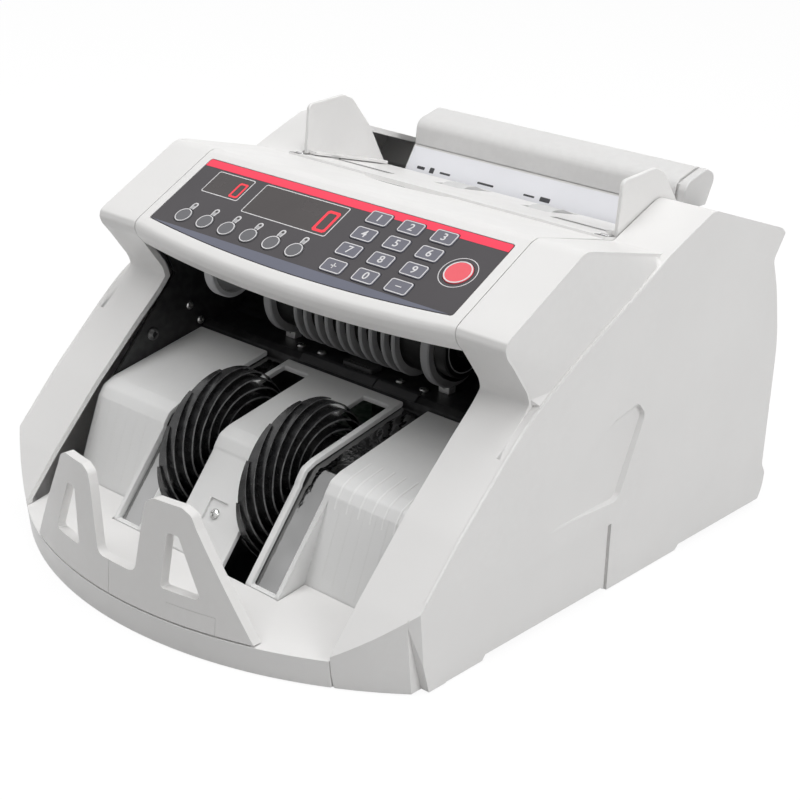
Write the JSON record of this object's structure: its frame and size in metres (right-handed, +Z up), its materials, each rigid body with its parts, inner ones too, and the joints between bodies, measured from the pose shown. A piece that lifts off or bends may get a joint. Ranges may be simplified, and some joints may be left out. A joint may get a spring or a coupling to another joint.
{
  "type": "banknote counter",
  "caption": "Desk-top banknote counter: sloped hopper, key panel with two displays, and a bowed tray with vaned stacker wheels.",
  "frame": {"origin": "centre of the bounding box's underside, on the desk", "axes": "+X to the viewer's right when facing the tray, -Y out of the front of the tray, +Z up"},
  "size_m": [0.25, 0.3184, 0.1813],
  "materials": {
    "shell": "fine satin moulded ABS",
    "deck": "fine satin moulded plastic",
    "steel_black": "satin black paint",
    "steel_bright": "polished",
    "rubber_black": "satin",
    "roller_grey": "satin",
    "panel": "printed film",
    "key_charcoal": "satin",
    "key_red": "satin",
    "black_plastic": "satin",
    "board": "lacquered board"
  },
  "bodies": {
    "housing": {"base_pan": "steel_black", "front_tray": "shell", "note_stop": "shell", "left_side_shell": "shell", "right_side_shell": "shell", "console_cover": "shell", "keypad_overlay": "panel", "display_board": "board", "hopper_plate": "shell", "note_rest": "shell", "rear_cover": "shell", "left_frame_plate": "steel_black", "right_frame_plate": "steel_black", "cross_plate": "steel_black", "stacker_deck": "deck", "left_guide_strip": "steel_bright", "right_guide_strip": "steel_bright", "main_motor": "steel_black", "drive_belt": "rubber_black", "stacker_belt": "rubber_black", "control_board": "board", "transformer": "steel_black", "power_inlet": "black_plastic", "front_left_foot": "rubber_black", "front_right_foot": "rubber_black", "rear_left_foot": "rubber_black", "rear_right_foot": "rubber_black"},
    "stacker": {"stacker_shaft": "steel_bright", "left_stacker_wheel": "rubber_black", "right_stacker_wheel": "rubber_black"},
    "counting_drum": {"counting_shaft": "steel_bright", "counting_roller": "roller_grey"},
    "pull_rollers": {"pull_shaft": "steel_bright", "left_pull_wheel": "roller_grey", "right_pull_wheel": "roller_grey"},
    "feed_drum": {"feed_shaft": "steel_bright", "feed_roller": "roller_grey"},
    "motor_shaft": {"motor_pulley": "steel_bright"},
    "left_guide": {"left_note_guide": "shell"},
    "right_guide": {"right_note_guide": "shell"},
    "rocker": {"power_switch": "black_plastic"},
    "key_0_cap": {"key_0": "key_charcoal"},
    "key_1_cap": {"key_1": "key_charcoal"},
    "key_2_cap": {"key_2": "key_charcoal"},
    "key_3_cap": {"key_3": "key_charcoal"},
    "key_4_cap": {"key_4": "key_charcoal"},
    "key_5_cap": {"key_5": "key_charcoal"},
    "key_6_cap": {"key_6": "key_charcoal"},
    "key_7_cap": {"key_7": "key_charcoal"},
    "key_8_cap": {"key_8": "key_charcoal"},
    "key_9_cap": {"key_9": "key_charcoal"},
    "key_add_cap": {"key_add": "key_charcoal"},
    "key_clear_cap": {"key_clear": "key_charcoal"},
    "function_key_1_cap": {"function_key_1": "key_charcoal"},
    "function_key_2_cap": {"function_key_2": "key_charcoal"},
    "function_key_3_cap": {"function_key_3": "key_charcoal"},
    "function_key_4_cap": {"function_key_4": "key_charcoal"},
    "function_key_5_cap": {"function_key_5": "key_charcoal"},
    "function_key_6_cap": {"function_key_6": "key_charcoal"},
    "restart_key_cap": {"restart_key": "key_red"}
  },
  "joints": [
    {"name": "counting_spin", "type": "hinge", "parent": "housing", "child": "counting_drum", "pos_m": [0, -0.00573, 0.10444], "axis": [1, 0, 0], "continuous": true},
    {"name": "feed_spin", "type": "hinge", "parent": "housing", "child": "feed_drum", "pos_m": [0, 0.0844, 0.11998], "axis": [1, 0, 0], "continuous": true},
    {"name": "motor_spin", "type": "hinge", "parent": "housing", "child": "motor_shaft", "pos_m": [0, 0.10921, 0.06199], "axis": [1, 0, 0], "continuous": true},
    {"name": "stacker_spin", "type": "hinge", "parent": "housing", "child": "stacker", "pos_m": [0, -0.06972, 0.04545], "axis": [1, 0, 0], "continuous": true},
    {"name": "pull_spin", "type": "hinge", "parent": "housing", "child": "pull_rollers", "pos_m": [0, -0.02868, 0.11531], "axis": [1, 0, 0], "continuous": true},
    {"name": "left_guide_slide", "type": "slide", "parent": "housing", "child": "left_guide", "axis": [1, 0, 0], "range_m": [0, 0.038]},
    {"name": "right_guide_slide", "type": "slide", "parent": "housing", "child": "right_guide", "axis": [-1, 0, 0], "range_m": [0, 0.038]},
    {"name": "power_rocker", "type": "hinge", "parent": "housing", "child": "rocker", "pos_m": [0.0207, 0.15519, 0.04], "axis": [1, 0, 0], "range_deg": [-14, 0]},
    {"name": "key_0_press", "type": "slide", "parent": "housing", "child": "key_0_cap", "axis": [0, 0.4932, -0.8699], "range_m": [0, 0.0004], "stiffness_N_per_m": 400},
    {"name": "key_1_press", "type": "slide", "parent": "housing", "child": "key_1_cap", "axis": [0, 0.4932, -0.8699], "range_m": [0, 0.0004], "stiffness_N_per_m": 400},
    {"name": "key_2_press", "type": "slide", "parent": "housing", "child": "key_2_cap", "axis": [0, 0.4932, -0.8699], "range_m": [0, 0.0004], "stiffness_N_per_m": 400},
    {"name": "key_3_press", "type": "slide", "parent": "housing", "child": "key_3_cap", "axis": [0, 0.4932, -0.8699], "range_m": [0, 0.0004], "stiffness_N_per_m": 400},
    {"name": "key_4_press", "type": "slide", "parent": "housing", "child": "key_4_cap", "axis": [0, 0.4932, -0.8699], "range_m": [0, 0.0004], "stiffness_N_per_m": 400},
    {"name": "key_5_press", "type": "slide", "parent": "housing", "child": "key_5_cap", "axis": [0, 0.4932, -0.8699], "range_m": [0, 0.0004], "stiffness_N_per_m": 400},
    {"name": "key_6_press", "type": "slide", "parent": "housing", "child": "key_6_cap", "axis": [0, 0.4932, -0.8699], "range_m": [0, 0.0004], "stiffness_N_per_m": 400},
    {"name": "key_7_press", "type": "slide", "parent": "housing", "child": "key_7_cap", "axis": [0, 0.4932, -0.8699], "range_m": [0, 0.0004], "stiffness_N_per_m": 400},
    {"name": "key_8_press", "type": "slide", "parent": "housing", "child": "key_8_cap", "axis": [0, 0.4932, -0.8699], "range_m": [0, 0.0004], "stiffness_N_per_m": 400},
    {"name": "key_9_press", "type": "slide", "parent": "housing", "child": "key_9_cap", "axis": [0, 0.4932, -0.8699], "range_m": [0, 0.0004], "stiffness_N_per_m": 400},
    {"name": "key_add_press", "type": "slide", "parent": "housing", "child": "key_add_cap", "axis": [0, 0.4932, -0.8699], "range_m": [0, 0.0004], "stiffness_N_per_m": 400},
    {"name": "key_clear_press", "type": "slide", "parent": "housing", "child": "key_clear_cap", "axis": [0, 0.4932, -0.8699], "range_m": [0, 0.0004], "stiffness_N_per_m": 400},
    {"name": "function_key_1_press", "type": "slide", "parent": "housing", "child": "function_key_1_cap", "axis": [0, 0.4932, -0.8699], "range_m": [0, 0.0004], "stiffness_N_per_m": 400},
    {"name": "function_key_2_press", "type": "slide", "parent": "housing", "child": "function_key_2_cap", "axis": [0, 0.4932, -0.8699], "range_m": [0, 0.0004], "stiffness_N_per_m": 400},
    {"name": "function_key_3_press", "type": "slide", "parent": "housing", "child": "function_key_3_cap", "axis": [0, 0.4932, -0.8699], "range_m": [0, 0.0004], "stiffness_N_per_m": 400},
    {"name": "function_key_4_press", "type": "slide", "parent": "housing", "child": "function_key_4_cap", "axis": [0, 0.4932, -0.8699], "range_m": [0, 0.0004], "stiffness_N_per_m": 400},
    {"name": "function_key_5_press", "type": "slide", "parent": "housing", "child": "function_key_5_cap", "axis": [0, 0.4932, -0.8699], "range_m": [0, 0.0004], "stiffness_N_per_m": 400},
    {"name": "function_key_6_press", "type": "slide", "parent": "housing", "child": "function_key_6_cap", "axis": [0, 0.4932, -0.8699], "range_m": [0, 0.0004], "stiffness_N_per_m": 400},
    {"name": "restart_key_press", "type": "slide", "parent": "housing", "child": "restart_key_cap", "axis": [0, 0.4932, -0.8699], "range_m": [0, 0.0004], "stiffness_N_per_m": 400}
  ],
  "couplings": [
    {"joint": "feed_spin", "follows": "counting_spin", "ratio": 0.70588},
    {"joint": "motor_spin", "follows": "counting_spin", "ratio": 1.5},
    {"joint": "stacker_spin", "follows": "counting_spin", "ratio": 0.75}
  ]
}
